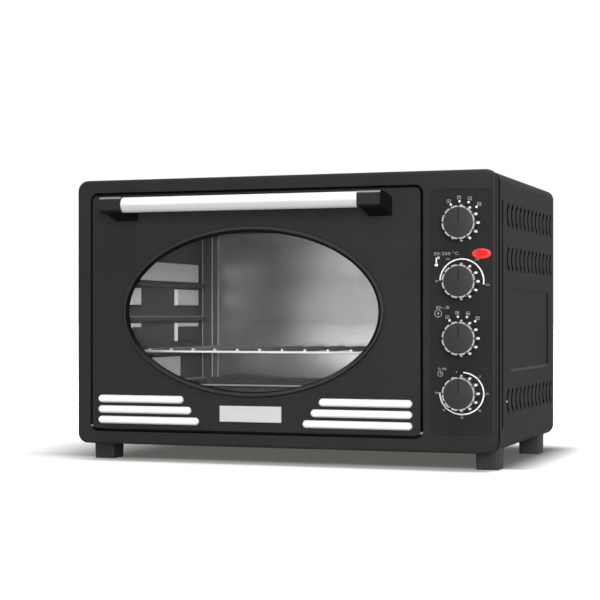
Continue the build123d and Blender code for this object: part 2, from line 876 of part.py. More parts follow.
def make_wire_rack():
    z = runner_tops()[1] + rest_gap + rack_wire_r
    half = cavity_w / 2 - rack_side_gap - rack_wire_r
    y0 = flange_y + rack_front_gap
    y1 = cavity_back_y - rack_back_gap
    loop = Plane(origin=(door_x, (y0 + y1) / 2, z)) * RectangleRounded(2 * half, y1 - y0, rack_corner_r)
    path = loop.face().outer_wire()
    start = path.edges().filter_by(GeomType.LINE)[0]
    ring = Plane(origin=start @ 0.5, z_dir=start % 0.5) * Circle(rack_wire_r)
    rack = sweep(ring, path=path)
    cross_z = z + rack_wire_r + rack_cross_r - rack_weld
    for i in range(rack_cross_count):
        x = door_x + (i - (rack_cross_count - 1) / 2) * rack_cross_pitch
        rack += rod_y(rack_cross_r, x, y0 - rack_wire_r / 2, y1 + rack_wire_r / 2, cross_z)
    return rack


def make_baking_tray():
    rim_z = runner_tops()[0] + rest_gap
    half = cavity_w / 2 - tray_side_gap
    y0 = flange_y + tray_front_gap
    y1 = cavity_back_y - tray_back_gap
    middle = Pos(door_x, (y0 + y1) / 2)
    rim = middle * RectangleRounded(2 * half, y1 - y0, tray_corner_r)
    tray = extrude(Plane.XY.offset(rim_z) * rim, amount=tray_t)
    pan_w = 2 * (half - tray_rim_w)
    pan_d = y1 - y0 - 2 * tray_rim_w
    pan = middle * RectangleRounded(pan_w, pan_d, tray_corner_r)
    body = extrude(Plane.XY.offset(rim_z + tray_t) * pan, amount=-tray_deep)
    body = fillet(body.faces().sort_by(Axis.Z)[0].edges(), tray_floor_round)
    well_outline = middle * RectangleRounded(pan_w - 2 * tray_t, pan_d - 2 * tray_t, tray_corner_r - tray_t)
    well = extrude(Plane.XY.offset(rim_z + tray_t) * well_outline, amount=tray_t - tray_deep)
    well = fillet(well.faces().sort_by(Axis.Z)[0].edges(), tray_floor_round - tray_t)
    return tray + body - well


def make_door_arm():
    """A curved arm concentric with the hinge; its front end is fixed to the door liner."""
    start = math.degrees(math.acos((door_t - hinge_back) / (arm_r + arm_w / 2))) + arm_front_lap_deg
    steps = (arm_end_deg, (arm_end_deg + start) / 2, start)
    middle = Pos(hinge_back, hinge_z)
    points = [(arm_r * math.cos(math.radians(a)), arm_r * math.sin(math.radians(a))) for a in steps]
    band = middle * SlotArc(ThreePointArc(*points), arm_w)
    arm = along_x(band, arm_x - arm_t / 2, arm_x + arm_t / 2)
    keep = block(arm_x - arm_t, arm_x + arm_t, door_t, door_t + 2 * arm_r, 0, case_h)
    return arm & keep


def spring_start_y():
    """Where the spring's front leg meets the end of the door arm."""
    return hinge_back + arm_r * math.cos(math.radians(arm_end_deg)) + arm_w / 2 + rest_gap


def spring_points():
    """Quarter-turn points of the coil, in x, y and z, with their directions."""
    y0 = spring_start_y() + spring_pitch
    pitch_per_rad = spring_pitch / (2 * math.pi)
    points = []
    for i in range(4 * spring_turns + 1):
        t = i * math.pi / 2
        place = (arm_x + spring_coil_r * math.sin(t), y0 + pitch_per_rad * t,
                 spring_z + spring_coil_r * math.cos(t))
        heading = (spring_coil_r * math.cos(t), pitch_per_rad, -spring_coil_r * math.sin(t))
        points.append((Vector(*place), Vector(*heading).normalized()))
    return points


def make_door_spring():
    """A tension spring as one wire: a straight leg, the coil and a straight leg."""
    points = spring_points()
    first, heading = points[0]
    last, leaving = points[-1]
    edges = [Line(first - heading * spring_leg, first)]
    for (a, ta), (b, _) in zip(points, points[1:]):
        edges.append(TangentArc(a, b, tangent=ta))
    edges.append(Line(last, last + leaving * spring_leg))
    path = Wire(edges)
    ring = Plane(origin=path @ 0, z_dir=path % 0) * Circle(spring_wire_r)
    print(f"door spring: least gap between turns {spring_pitch - 2 * spring_wire_r:.2f} mm")
    return sweep(ring, path=path)


def make_cord_gland():
    gland = rod_y(gland_r, gland_x, case_d - rear_t - gland_nut_t, case_d, gland_z)
    gland += rod_y(gland_flange_r, gland_x, case_d, case_d + gland_flange_t, gland_z)
    gland += rod_y(gland_nut_r, gland_x, case_d - rear_t - gland_nut_t, case_d - rear_t, gland_z)
    bore = rod_y(gland_bore_r, gland_x, case_d - rear_t - gland_nut_t, case_d + gland_flange_t, gland_z)
    return gland - bore


def make_terminal_block():
    z0 = base_z + base_t
    box = block(gland_x - terminal_w / 2, gland_x + terminal_w / 2, terminal_y, terminal_y + terminal_d,
                z0, z0 + terminal_h)
    pitch = terminal_w / terminal_ways
    for i in range(terminal_ways):
        x = gland_x + (i - (terminal_ways - 1) / 2) * pitch
        box -= rod_y(terminal_way_r, x, terminal_y, terminal_y + terminal_d, z0 + terminal_h / 2)
    return box


parts = {
    "front_frame": make_front_frame(),
    "control_panel": make_control_panel(),
    "outer_cover": foot_screw_holes(make_outer_cover()),
    "rear_panel": make_rear_panel(),
    "rear_screws": make_rear_screws(),
    "base_plate": make_base_plate(),
    "foot_screws": make_foot_screws(),
    "hinge_pins": make_hinge_pins(),
    "cavity_left_wall": make_cavity_wall(-1),
    "cavity_right_wall": make_cavity_wall(1),
    "cavity_top": make_cavity_top(),
    "cavity_floor": make_cavity_floor(),
    "cavity_back": make_cavity_back(),
    "heater_bushes": make_heater_bushes(),
    "control_screws": Part() + [control_screw_pair(z) for z in knob_heights],
    "pilot_lens": make_pilot_lens(),
    "pilot_lamp": make_pilot_lamp(),
    "cord_gland": make_cord_gland(),
    "terminal_block": make_terminal_block(),
    "door_spring": make_door_spring(),
    "door_panel": make_door_panel(),
    "window_bezel": make_window_bezel(),
    "door_glass": make_door_glass(),
    "door_liner": make_door_liner(),
    "door_arm": make_door_arm(),
    "handle_bar": make_handle_bar(),
    "handle_bracket_left": make_handle_bracket(bracket_middles()[0], 1),
    "handle_bracket_right": make_handle_bracket(bracket_middles()[1], -1),
    "handle_screws": make_handle_screws(),
    "trim_bars_left": make_trim_bars(-1),
    "trim_bars_right": make_trim_bars(1),
    "name_plate": make_name_plate(),
    "wire_rack": make_wire_rack(),
    "baking_tray": make_baking_tray(),
}
for name, x, y in foot_places():
    parts[name] = make_foot(x, y)
for name, y, z in heater_places():
    parts[name] = make_heater(y, z)
control_names = ("heat_switch", "thermostat", "function_switch", "timer")
grip = make_knob()
knob_trim = make_knob_trim()
shaft = make_shaft()
for knob, control, z, size in zip(knob_names, control_names, knob_heights, control_sizes):
    parts[f"{knob}_knob"] = Pos(0, 0, z) * grip
    parts[f"{knob}_knob_trim"] = Pos(0, 0, z) * knob_trim
    parts[f"{knob}_shaft"] = Pos(0, 0, z) * shaft
    parts[control] = make_control(z, size)

os.makedirs("parts", exist_ok=True)
for name, part in parts.items():
    export_step(Pos(0, front_y, foot_h) * part, f"parts/{name}.step")
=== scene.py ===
import json
import math

import bmesh
import bpy
from mathutils import Euler, Matrix, Vector


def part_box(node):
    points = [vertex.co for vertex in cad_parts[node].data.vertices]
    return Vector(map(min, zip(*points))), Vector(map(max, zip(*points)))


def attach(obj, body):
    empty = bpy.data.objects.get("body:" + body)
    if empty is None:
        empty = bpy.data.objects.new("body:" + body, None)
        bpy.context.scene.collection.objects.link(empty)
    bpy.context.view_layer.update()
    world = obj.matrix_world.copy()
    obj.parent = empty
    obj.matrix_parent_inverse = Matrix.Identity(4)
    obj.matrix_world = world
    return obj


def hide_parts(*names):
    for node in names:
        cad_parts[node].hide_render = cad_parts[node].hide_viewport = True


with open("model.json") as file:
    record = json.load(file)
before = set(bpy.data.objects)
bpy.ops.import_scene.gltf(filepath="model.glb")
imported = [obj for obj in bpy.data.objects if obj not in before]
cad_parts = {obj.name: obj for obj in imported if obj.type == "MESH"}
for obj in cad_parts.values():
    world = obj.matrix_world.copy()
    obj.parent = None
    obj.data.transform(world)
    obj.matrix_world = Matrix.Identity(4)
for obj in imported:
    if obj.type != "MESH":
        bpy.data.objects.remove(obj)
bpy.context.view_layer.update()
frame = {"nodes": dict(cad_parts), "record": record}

MM = 0.001
past = 1.0 * MM  # how far a mask reaches past the piece it is on
coat_ior = 1.22
plastic_ior = 1.49
knob_names = ("heat", "temperature", "function", "timer")


def shade(code):
    """An sRGB hex colour as linear red, green, blue and alpha."""
    parts = [int(code[i:i + 2], 16) / 255 for i in (1, 3, 5)]
    linear = [c / 12.92 if c <= 0.04045 else ((c + 0.055) / 1.055) ** 2.4 for c in parts]
    return (*linear, 1.0)


def per_mm(size):
    """The texture scale that gives features of that many millimetres."""
    return 1000.0 / size


def connect(tree, node, sockets):
    """Gives a node's inputs their values or links."""
    for key, value in sockets.items():
        if isinstance(value, bpy.types.NodeSocket):
            tree.links.new(value, node.inputs[key])
        else:
            node.inputs[key].default_value = value


def add(tree, kind, settings=None, sockets=None):
    """Adds one node with its settings and inputs."""
    made = tree.nodes.new(kind)
    for name, value in (settings or {}).items():
        setattr(made, name, value)
    connect(tree, made, sockets or {})
    return made


def start_material(name):
    """A new node material with its surface shader, and the piece's own coordinates."""
    material = bpy.data.materials.new(name)
    material.use_nodes = True
    tree = material.node_tree
    surface = tree.nodes["Principled BSDF"]
    place = add(tree, "ShaderNodeTexCoord").outputs["Object"]
    return material, tree, surface, place


def apart(tree, place):
    """A point's three coordinates."""
    return add(tree, "ShaderNodeSeparateXYZ", sockets={"Vector": place}).outputs


def sum_of(tree, operation, *values):
    """The result of one sum."""
    made = add(tree, "ShaderNodeMath", {"operation": operation}, dict(enumerate(values)))
    return made.outputs["Value"]


def noise(tree, place, mm, detail):
    """A soft random pattern with patches of that many millimetres."""
    sockets = {"Vector": place, "Scale": per_mm(mm), "Detail": detail}
    return add(tree, "ShaderNodeTexNoise", sockets=sockets).outputs["Fac"]


def fine_lines(tree, place, along, stretch, mm, detail):
    """A pattern drawn out into lines along one axis."""
    scale = [1.0, 1.0, 1.0]
    scale[along] = stretch
    drawn = add(tree, "ShaderNodeMapping", sockets={"Vector": place, "Scale": scale})
    return noise(tree, drawn.outputs["Vector"], mm, detail)


def ramp(tree, source, low, high, start=0.3, end=0.7):
    """Two colours mixed by a pattern."""
    made = add(tree, "ShaderNodeValToRGB", sockets={"Fac": source})
    for element, position, code in zip(made.color_ramp.elements, (start, end), (low, high)):
        element.position = position
        element.color = shade(code)
    return made.outputs["Color"]


def grown(tree, value, reach, low, high, kind="LINEAR"):
    """A value that goes from one level to another over a reach."""
    made = add(tree, "ShaderNodeMapRange", {"interpolation_type": kind},
               {"Value": value, "From Min": reach[0], "From Max": reach[1], "To Min": low, "To Max": high})
    return made.outputs["Result"]


def spread(tree, share, low, high):
    """A pattern or a share brought into a range."""
    return grown(tree, share, (0.0, 1.0), low, high)


def blended(tree, share, low, high):
    """One colour given way to another by a share."""
    made = add(tree, "ShaderNodeMix", {"data_type": "RGBA"}, {"Factor": share, 6: low, 7: high})
    return made.outputs[2]


def either(tree, *shares):
    """The largest of several shares."""
    most = shares[0]
    for share in shares[1:]:
        most = sum_of(tree, "MAXIMUM", most, share)
    return most


def both(tree, *shares):
    """Several shares multiplied."""
    left = shares[0]
    for share in shares[1:]:
        left = sum_of(tree, "MULTIPLY", left, share)
    return left


def within(tree, value, low, high, soft):
    """A share that is 1 where a length in metres lies between two others, with soft edges."""
    rise = grown(tree, value, (low - soft, low), 0.0, 1.0)
    fall = grown(tree, value, (high, high + soft), 1.0, 0.0)
    return both(tree, rise, fall)


def facing(tree, axis):
    """The surface's own direction along one axis."""
    return apart(tree, add(tree, "ShaderNodeTexCoord").outputs["Normal"])[axis]


def turned(tree, axis, start, end):
    """A share that grows as the surface turns along an axis."""
    return grown(tree, facing(tree, axis), (start, end), 0.0, 1.0)


def oval_reach(tree, place, middle, half):
    """How far out a point lies, seen from the front: 1 on an oval of that half size."""
    oval = add(tree, "ShaderNodeMapping", {"vector_type": "TEXTURE"},
               {"Vector": place, "Location": middle, "Scale": (half.x, 1.0, half.z)}).outputs["Vector"]
    flat = add(tree, "ShaderNodeVectorMath", {"operation": "MULTIPLY"},
               {0: oval, 1: (1.0, 0.0, 1.0)}).outputs["Vector"]
    return add(tree, "ShaderNodeVectorMath", {"operation": "LENGTH"}, {0: flat}).outputs["Value"]


def relief(tree, surface, height, depth_mm, strength):
    """Surface relief from a pattern's height."""
    made = add(tree, "ShaderNodeBump",
               sockets={"Height": height, "Strength": strength, "Distance": depth_mm * MM})
    connect(tree, surface, {"Normal": made.outputs["Normal"]})


def powder_coat(name, shaded=None, lit=None):
    """Baked powder coat on sheet steel: near black, satin, with a fine orange peel.

    The two masks say where painted shade makes the coat darker and where a painted highlight makes it
    lighter."""
    material, tree, surface, place = start_material(name)
    cloud = noise(tree, place, mm=60.0, detail=3.0)
    peel = noise(tree, place, mm=1.6, detail=2.0)
    coat = ramp(tree, cloud, "#282829", "#2b2b2c")
    if shaded:
        # painted shade, near black, where the shaded mask falls
        coat = blended(tree, shaded(tree, place), coat, ramp(tree, cloud, "#0a0a0a", "#0c0c0c"))
    if lit:
        # painted highlight where the lit mask falls
        coat = blended(tree, lit(tree, place), coat, ramp(tree, cloud, "#3e3e3f", "#424243"))
    connect(tree, surface, {"Base Color": coat,
                            "Roughness": spread(tree, cloud, 0.47, 0.53), "IOR": coat_ior})
    relief(tree, surface, peel, depth_mm=0.03, strength=0.25)
    return material


def cover_coat():
    """The cover's coat: painted shade on pressed edges that face the front, and a painted highlight on the
    sill that faces up.
    """
    low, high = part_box("outer_cover")
    pressed_depth = 14.0 * MM
    soft = 1.0 * MM
    sill_low, sill_high = (low.z + share * (high.z - low.z) for share in (0.25, 0.45))

    def on_side(tree, spot):
        return within(tree, spot["X"], high.x - pressed_depth, high.x + past, soft)

    # painted shade on the side's pressed faces that turn to the front
    def shaded(tree, place):
        return both(tree, on_side(tree, apart(tree, place)), turned(tree, "Y", -0.2, -0.5))

    # painted highlight on the sill's faces that turn up
    def lit(tree, place):
        spot = apart(tree, place)
        sill = within(tree, spot["Z"], sill_low, sill_high, soft)
        return both(tree, on_side(tree, spot), sill, turned(tree, "Z", 0.2, 0.5))

    return powder_coat("powder_coat_cover", shaded, lit)


def ring_coat():
    """The same coat on the window's ring, with painted shade where the ring turns down or in towards the
    glass, and along the glass's edge.
    """
    material, tree, surface, place = start_material("powder_coat_ring")
    low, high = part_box("window_bezel")
    middle = (low + high) / 2
    crest_in = 3.0 * MM
    crest = (high - low) / 2 - Vector((crest_in, 0.0, crest_in))
    inner_slope = (0.996, 1.004)
    glass_edge = (0.976, 0.982)
    fade = 0.35 * crest.z
    out = oval_reach(tree, place, middle, crest)
    inner = grown(tree, out, inner_slope, 1.0, 0.0)
    edge = grown(tree, out, glass_edge, 1.0, 0.0)
    upper = within(tree, apart(tree, place)["Z"], middle.z - fade, high.z + past, fade)
    # painted shade: the inner slope on the upper half, a thin ring at the glass's edge, and faces that turn
    # down
    dark = either(tree, both(tree, inner, upper), edge, turned(tree, "Z", -0.15, -0.45))
    cloud = noise(tree, place, mm=60.0, detail=3.0)
    coat = ramp(tree, cloud, "#313132", "#353536")
    ring_shade = ramp(tree, cloud, "#060606", "#080808")
    connect(tree, surface, {"Base Color": blended(tree, dark, coat, ring_shade),
                            "Roughness": spread(tree, dark, 0.5, 0.85), "IOR": coat_ior})
    return material


def control_plate():
    """Grained black moulding; its lower edge has a painted highlight."""
    material, tree, surface, place = start_material("abs_control_plate")
    low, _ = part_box("control_panel")
    edge_h = 1.2 * MM
    edge = within(tree, apart(tree, place)["Z"], low.z - past, low.z + edge_h, soft=0.3 * MM)
    grain = noise(tree, place, mm=0.7, detail=4.0)
    face = ramp(tree, grain, "#222223", "#262627")
    # painted highlight on the plate's lower edge
    edge_highlight = ramp(tree, grain, "#5c5c5d", "#646465")
    connect(tree, surface, {"Base Color": blended(tree, edge, face, edge_highlight),
                            "Roughness": spread(tree, grain, 0.5, 0.6), "IOR": coat_ior})
    relief(tree, surface, grain, depth_mm=0.02, strength=0.3)
    return material


def moulded_plastic(name, low, high, rough, grain_mm, grain_depth):
    """Injection-moulded plastic with a spark-eroded grain that dulls its shine."""
    material, tree, surface, place = start_material(name)
    grain = noise(tree, place, grain_mm, detail=4.0)
    connect(tree, surface, {"Base Color": ramp(tree, grain, low, high),
                            "Roughness": spread(tree, grain, rough - 0.05, rough + 0.05),
                            "IOR": plastic_ior})
    relief(tree, surface, grain, grain_depth, strength=0.35)
    return material


def knob_grip(name):
    """Black moulded knob, grained; the groove that points to the scale is near black."""
    material, tree, surface, place = start_material(f"abs_{name}_knob")
    low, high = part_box(f"{name}_knob")
    middle = (low + high) / 2
    groove_half = 0.6 * MM
    groove_start = 1.0 * MM
    groove_end = 2.5 * MM
    face_depth = 2.0 * MM
    spot = apart(tree, place)
    across = within(tree, spot["X"], middle.x - groove_half, middle.x + groove_half, soft=0.3 * MM)
    along = within(tree, spot["Z"], middle.z + groove_start, high.z - groove_end, soft=0.5 * MM)
    front = within(tree, spot["Y"], low.y - past, low.y + face_depth, soft=0.2 * MM)
    grain = noise(tree, place, mm=0.6, detail=4.0)
    grip = ramp(tree, grain, "#222225", "#27272a")
    # near black in the pointer groove
    groove = ramp(tree, grain, "#050505", "#070707")
    connect(tree, surface, {"Base Color": blended(tree, both(tree, across, along, front), grip, groove),
                            "Roughness": spread(tree, grain, 0.37, 0.47), "IOR": plastic_ior})
    relief(tree, surface, grain, depth_mm=0.02, strength=0.35)
    return material


def rolled_steel(name, low, high, rough, spangle_mm):
    """Zinc coated sheet: a metal with a faint spangle of coating crystals."""
    material, tree, surface, place = start_material(name)
    cells = add(tree, "ShaderNodeTexVoronoi", sockets={"Vector": place, "Scale": per_mm(spangle_mm)})
    cell_share = 0.25
    speck = noise(tree, place, mm=2.2, detail=5.0)
    spangle = sum_of(tree, "MULTIPLY_ADD", cells.outputs["Color"], cell_share, speck)
    connect(tree, surface, {"Base Color": ramp(tree, spangle, low, high, 0.35, 0.95),
                            "Roughness": spread(tree, speck, rough - 0.08, rough + 0.08), "Metallic": 1.0})
    relief(tree, surface, speck, depth_mm=0.02, strength=0.2)
    return material


def from_middle(tree, spot, low, high):
    """How far a point is from the cavity's middle, left or right."""
    return sum_of(tree, "ABSOLUTE", sum_of(tree, "SUBTRACT", spot["X"], (low.x + high.x) / 2))


def sheet_finish(name, masks):
    """Aluminised sheet, dark grey; the masks make some of it pale, with painted highlights, and some of it
    bright.

    The masks give the pale share, the bright share and the colour of the bright sheet."""
    material, tree, surface, place = start_material(name)
    low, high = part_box("cavity_back")
    lines = fine_lines(tree, place, along=2, stretch=0.03, mm=3.0, detail=3.0)
    pale_share, bright, clear = masks(tree, apart(tree, place), lines, low, high)
    dim_tone = ramp(tree, lines, "#454544", "#484847")
    # colour of the painted highlights
    pale = ramp(tree, lines, "#f4f4f2", "#fbfbf9")
    sheet = blended(tree, bright, dim_tone, clear)
    shine = both(tree, bright, sum_of(tree, "SUBTRACT", 1.0, pale_share))
    connect(tree, surface, {"Base Color": blended(tree, pale_share, sheet, pale),
                            "Roughness": spread(tree, shine, 0.6, 0.26),
                            "Metallic": spread(tree, shine, 0.1, 1.0)})
    return material


def pressed_sheet():
    """The cavity's walls: painted highlights on the pads' crests and front slopes, on the lower pads only
    near their top, and on the ceiling.

    A faint pale line runs along the wall at the rack's height."""
    crest_high, crest_low = 6.1 * MM, 5.1 * MM  # from the wall
    slope_low = 0.8 * MM
    slope_facing = -0.4
    wall_half = 0.6 * MM
    floor_gap, ceiling_gap = 2.0 * MM, 4.0 * MM
    ceiling_under, ceiling_over = 1.0 * MM, 3.0 * MM
    shade_low, shade_high = 0.345, 0.4449  # of the cavity's height
    pad_top = 5.0 * MM
    pale_line_up, pale_line_half = 0.4724, 1.2 * MM
    pale_line_share, ceiling_share = 0.5, 0.6
    fine = 0.2 * MM

    def crests(tree, spot, lines, low, high):
        reach = from_middle(tree, spot, low, high)
        half = (high.x - low.x) / 2
        up = high.z - low.z
        pale_line_z = low.z + pale_line_up * up
        crest = within(tree, reach, half - crest_high, half - crest_low, fine)
        stands = within(tree, reach, half - crest_high, half - slope_low, fine)
        on_wall = within(tree, reach, half - wall_half, half + wall_half, fine)
        shaded = within(tree, spot["Z"], low.z + shade_low * up, low.z + shade_high * up - pad_top,
                        soft=0.4 * MM)
        shown = sum_of(tree, "SUBTRACT", 1.0, shaded)
        # faces that turn to the front get a painted highlight
        front = sum_of(tree, "LESS_THAN", facing(tree, "Y"), slope_facing)
        ceiling = within(tree, spot["Z"], high.z - ceiling_under, high.z + ceiling_over, soft=0.5 * MM)
        inside = within(tree, spot["Z"], low.z + floor_gap, high.z - ceiling_gap, soft=1.0 * MM)
        line = within(tree, spot["Z"], pale_line_z - pale_line_half, pale_line_z + pale_line_half, soft=1.0 * MM)
        # painted highlights on the crests, the front slopes and the ceiling, and the pale line at the rack's
        # height
        pale = either(tree, both(tree, crest, shown, inside), both(tree, stands, front, inside),
                      both(tree, ceiling, ceiling_share), both(tree, on_wall, line, pale_line_share))
        return pale, ceiling, ramp(tree, lines, "#a6a6a5", "#aaaaa9")

    return sheet_finish("aluminised_walls", crests)


def bright_sheet():
    """The cavity's back: bright in its sunk middle, with painted light strongest at its top and foot, and
    painted highlights on its bends.
    """
    rim_depth, foot_depth = (0.1, 0.9), (18.6, 19.6)  # bends of the middle, in millimetres behind the rim
    floor_depth = (19.95, 30.0)
    side_w, corner_w = 18.0 * MM, 1.0 * MM
    bends_up = 0.896  # of the cavity's height
    # where the painted light grows, as shares of the cavity's height
    top_reach, foot_reach = (0.673, 0.957), (0.449, 0.228)
    right_reach = (0.19, 0.345)  # of the cavity's width
    # strength of the painted highlights on the bends
    rim_share, foot_share, corner_share = 0.75, 0.45, 0.5

    def bends(tree, spot, lines, low, high):
        reach = from_middle(tree, spot, low, high)
        size = high - low
        half = size.x / 2

        def behind(depth, soft):
            return within(tree, spot["Y"], low.y + depth[0] * MM, low.y + depth[1] * MM, soft * MM)

        def along(axis, start, length, shares, first):
            ends = tuple(start + share * length for share in shares)
            return grown(tree, spot[axis], ends, first, 1.0)

        corner = within(tree, reach, half - corner_w, half, soft=0.3 * MM)
        side = within(tree, reach, half - side_w, half, soft=0.3 * MM)
        below = within(tree, spot["Z"], low.z, low.z + bends_up * size.z, soft=2.0 * MM)
        edges = either(tree, both(tree, behind(rim_depth, 0.1), rim_share),
                       both(tree, behind(foot_depth, 0.1), foot_share))
        bent = either(tree, both(tree, corner, corner_share), both(tree, side, edges))
        top = along("Z", low.z, size.z, top_reach, 0.0)
        foot = along("Z", low.z, size.z, foot_reach, 0.0)
        right = along("X", low.x, size.x, right_reach, 0.1)
        painted_light = either(tree, top, both(tree, foot, right))
        # the back's tone without and with the painted light
        plain_back = ramp(tree, lines, "#959594", "#999998")
        lit_back = ramp(tree, lines, "#efefee", "#f5f5f4")
        return both(tree, below, bent), behind(floor_depth, 0.05), blended(tree, painted_light, plain_back, lit_back)

    return sheet_finish("aluminised_back", bends)


def rack_chrome():
    """Chrome on the rack's wires: a painted highlight, bright, on the front bar, and darker and rougher
    further in.
    """
    material, tree, surface, place = start_material("chromed_rack_wire")
    low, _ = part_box("wire_rack")
    front_depth = 4.0 * MM
    front = within(tree, apart(tree, place)["Y"], low.y - past, low.y + front_depth, soft=3.0 * MM)
    haze = noise(tree, place, mm=4.0, detail=2.0)
    # painted highlight on the front bar
    painted_light = ramp(tree, haze, "#dededf", "#e8e8e9")
    dim_tone = ramp(tree, haze, "#7a7a7a", "#848484")
    connect(tree, surface, {"Base Color": blended(tree, front, dim_tone, painted_light),
                            "Roughness": spread(tree, front, 0.55, 0.3),
                            "Metallic": spread(tree, front, 0.3, 0.5)})
    return material


def drawn_metal(name, low, high, rough, along, line_mm):
    """Plated or bare metal with faint draw lines along one axis."""
    material, tree, surface, place = start_material(name)
    draw = fine_lines(tree, place, along, 0.02, line_mm, detail=3.0)
    connect(tree, surface, {"Base Color": ramp(tree, draw, low, high),
                            "Roughness": spread(tree, draw, rough - 0.04, rough + 0.06), "Metallic": 1.0})
    relief(tree, surface, draw, depth_mm=0.01, strength=0.12)
    return material


def silver_lacquer(name, upper, shade_under, turn):
    """Silver lacquer over aluminium: bright and faintly grained along its length, with painted shade,
    greyer, on faces that turn down.
    """
    material, tree, surface, place = start_material(name)
    draw = fine_lines(tree, place, along=0, stretch=0.03, mm=1.5, detail=2.0)
    top = turned(tree, "Z", *turn)
    # faces that turn down take the painted shade colours
    silver = blended(tree, top, ramp(tree, draw, *shade_under), ramp(tree, draw, *upper))
    connect(tree, surface, {"Base Color": silver, "Roughness": spread(tree, draw, 0.28, 0.34),
                            "Metallic": 0.25})
    relief(tree, surface, draw, depth_mm=0.005, strength=0.06)
    return material


def bracket_plastic():
    """The handle's brackets: black phenolic, with a painted highlight along the top front edge and painted
    shade, near black, on faces that turn down or to the right.
    """
    material, tree, surface, place = start_material("phenolic_bracket")
    low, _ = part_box("handle_bracket_left")
    edge_depth = 2.6 * MM
    near = within(tree, apart(tree, place)["Y"], low.y - past, low.y + edge_depth, soft=0.6 * MM)
    grain = noise(tree, place, mm=0.8, detail=4.0)
    face = ramp(tree, grain, "#222222", "#272727")
    top_edge_highlight = ramp(tree, grain, "#868686", "#8e8e8e")
    shade_black = ramp(tree, grain, "#080808", "#0b0b0b")
    # painted shade on faces that turn down or to the right, and a painted highlight on the top front edge
    behind = either(tree, turned(tree, "Z", -0.2, -0.5), turned(tree, "X", 0.4, 0.8))
    edge = both(tree, near, turned(tree, "Z", 0.4, 0.7))
    plain = blended(tree, behind, face, shade_black)
    connect(tree, surface, {"Base Color": blended(tree, edge, plain, top_edge_highlight),
                            "Roughness": spread(tree, grain, 0.45, 0.55), "IOR": 1.3})
    return material


def window_glass():
    """Toughened float glass: clear and neutral, with a faint film that blurs it a little.

    Shadow rays and scattered light pass straight through it."""
    material, tree, surface, place = start_material("toughened_glass")
    film = noise(tree, place, mm=90.0, detail=2.0)
    connect(tree, surface, {"Base Color": shade("#fefefe"), "IOR": 1.2, "Transmission Weight": 1.0,
                            "Roughness": spread(tree, film, 0.0, 0.03)})
    path = add(tree, "ShaderNodeLightPath").outputs
    passing = either(tree, path["Is Shadow Ray"], path["Is Diffuse Ray"])
    clear = add(tree, "ShaderNodeBsdfTransparent", sockets={"Color": shade("#fdfdfd")})
    mix = add(tree, "ShaderNodeMixShader",
              sockets={0: passing, 1: surface.outputs["BSDF"], 2: clear.outputs["BSDF"]})
    connect(tree, tree.nodes["Material Output"], {"Surface": mix.outputs["Shader"]})
    return material


def pilot_red():
    """Ribbed red acrylic over a lit lamp: deep red in the middle, paler towards its edge as a painted
    highlight.
    """
    material, tree, surface, place = start_material("red_acrylic_lit")
    low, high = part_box("pilot_lens")
    out = oval_reach(tree, place, (low + high) / 2, (high - low) / 2)
    rib_mm, rib_share = 24.0, 0.12
    rib = add(tree, "ShaderNodeTexWave", {"bands_direction": "X"},
              {"Vector": place, "Scale": per_mm(rib_mm), "Distortion": 0.0}).outputs["Fac"]
    ring = sum_of(tree, "MULTIPLY_ADD", rib, rib_share, out)
    # painted highlight, paler red, towards the lens's edge
    glow = ramp(tree, ring, "#d01310", "#f8403a", 0.4, 0.98)
    connect(tree, surface, {"Base Color": glow, "Emission Color": glow, "Emission Strength": 0.5,
                            "Roughness": 0.12, "IOR": plastic_ior})
    return material


def vitreous_enamel():
    """Dark vitreous enamelling with a faint cloud; a painted highlight, pale, lies along the tray's front
    and side rims.
    """
    material, tree, surface, place = start_material("vitreous_enamel_dark")
    low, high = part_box("baking_tray")
    rim_t = 1.05 * MM
    back_w = 22.0 * MM
    spot = apart(tree, place)
    top = within(tree, spot["Z"], high.z - rim_t, high.z + past, soft=0.1 * MM)
    front = within(tree, spot["Y"], low.y - past, high.y - back_w, soft=2.0 * MM)
    cloud = noise(tree, place, mm=50.0, detail=2.0)
    glaze = ramp(tree, cloud, "#464647", "#4a4a4b")
    # painted highlight on the tray's front and side rims
    rim_highlight = ramp(tree, cloud, "#a4a4a2", "#b0b0ae")
    connect(tree, surface, {"Base Color": blended(tree, both(tree, top, front), glaze, rim_highlight),
                            "Roughness": spread(tree, cloud, 0.5, 0.6), "IOR": 1.3})
    return material


def knob_trim():
    """Plated rim on the knob's face; the ring at its base is satin, and its studs towards the right carry a
    painted highlight, white.
    """
    material, tree, surface, place = start_material("plated_abs_silver")
    low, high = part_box("heat_knob_trim")
    middle = (low + high) / 2
    stud_side = 5.0 * MM
    spot = apart(tree, place)
    base = sum_of(tree, "GREATER_THAN", spot["Y"], middle.y)
    beside = within(tree, spot["X"], middle.x + stud_side, high.x + past, soft=6.0 * MM)
    haze = noise(tree, place, mm=2.0, detail=3.0)
    plate = ramp(tree, haze, "#dcdcdd", "#eaeaeb")
    satin = ramp(tree, haze, "#b0b0b0", "#bcbcbc")
    # painted highlight, white, on the studs towards the right
    stud_highlight = ramp(tree, haze, "#ececeb", "#f4f4f3")
    low_ring = blended(tree, beside, satin, stud_highlight)
    connect(tree, surface, {"Base Color": blended(tree, base, plate, low_ring),
                            "Roughness": spread(tree, base, 0.25, 0.45),
                            "Metallic": spread(tree, base, 0.8, 0.0)})
    return material


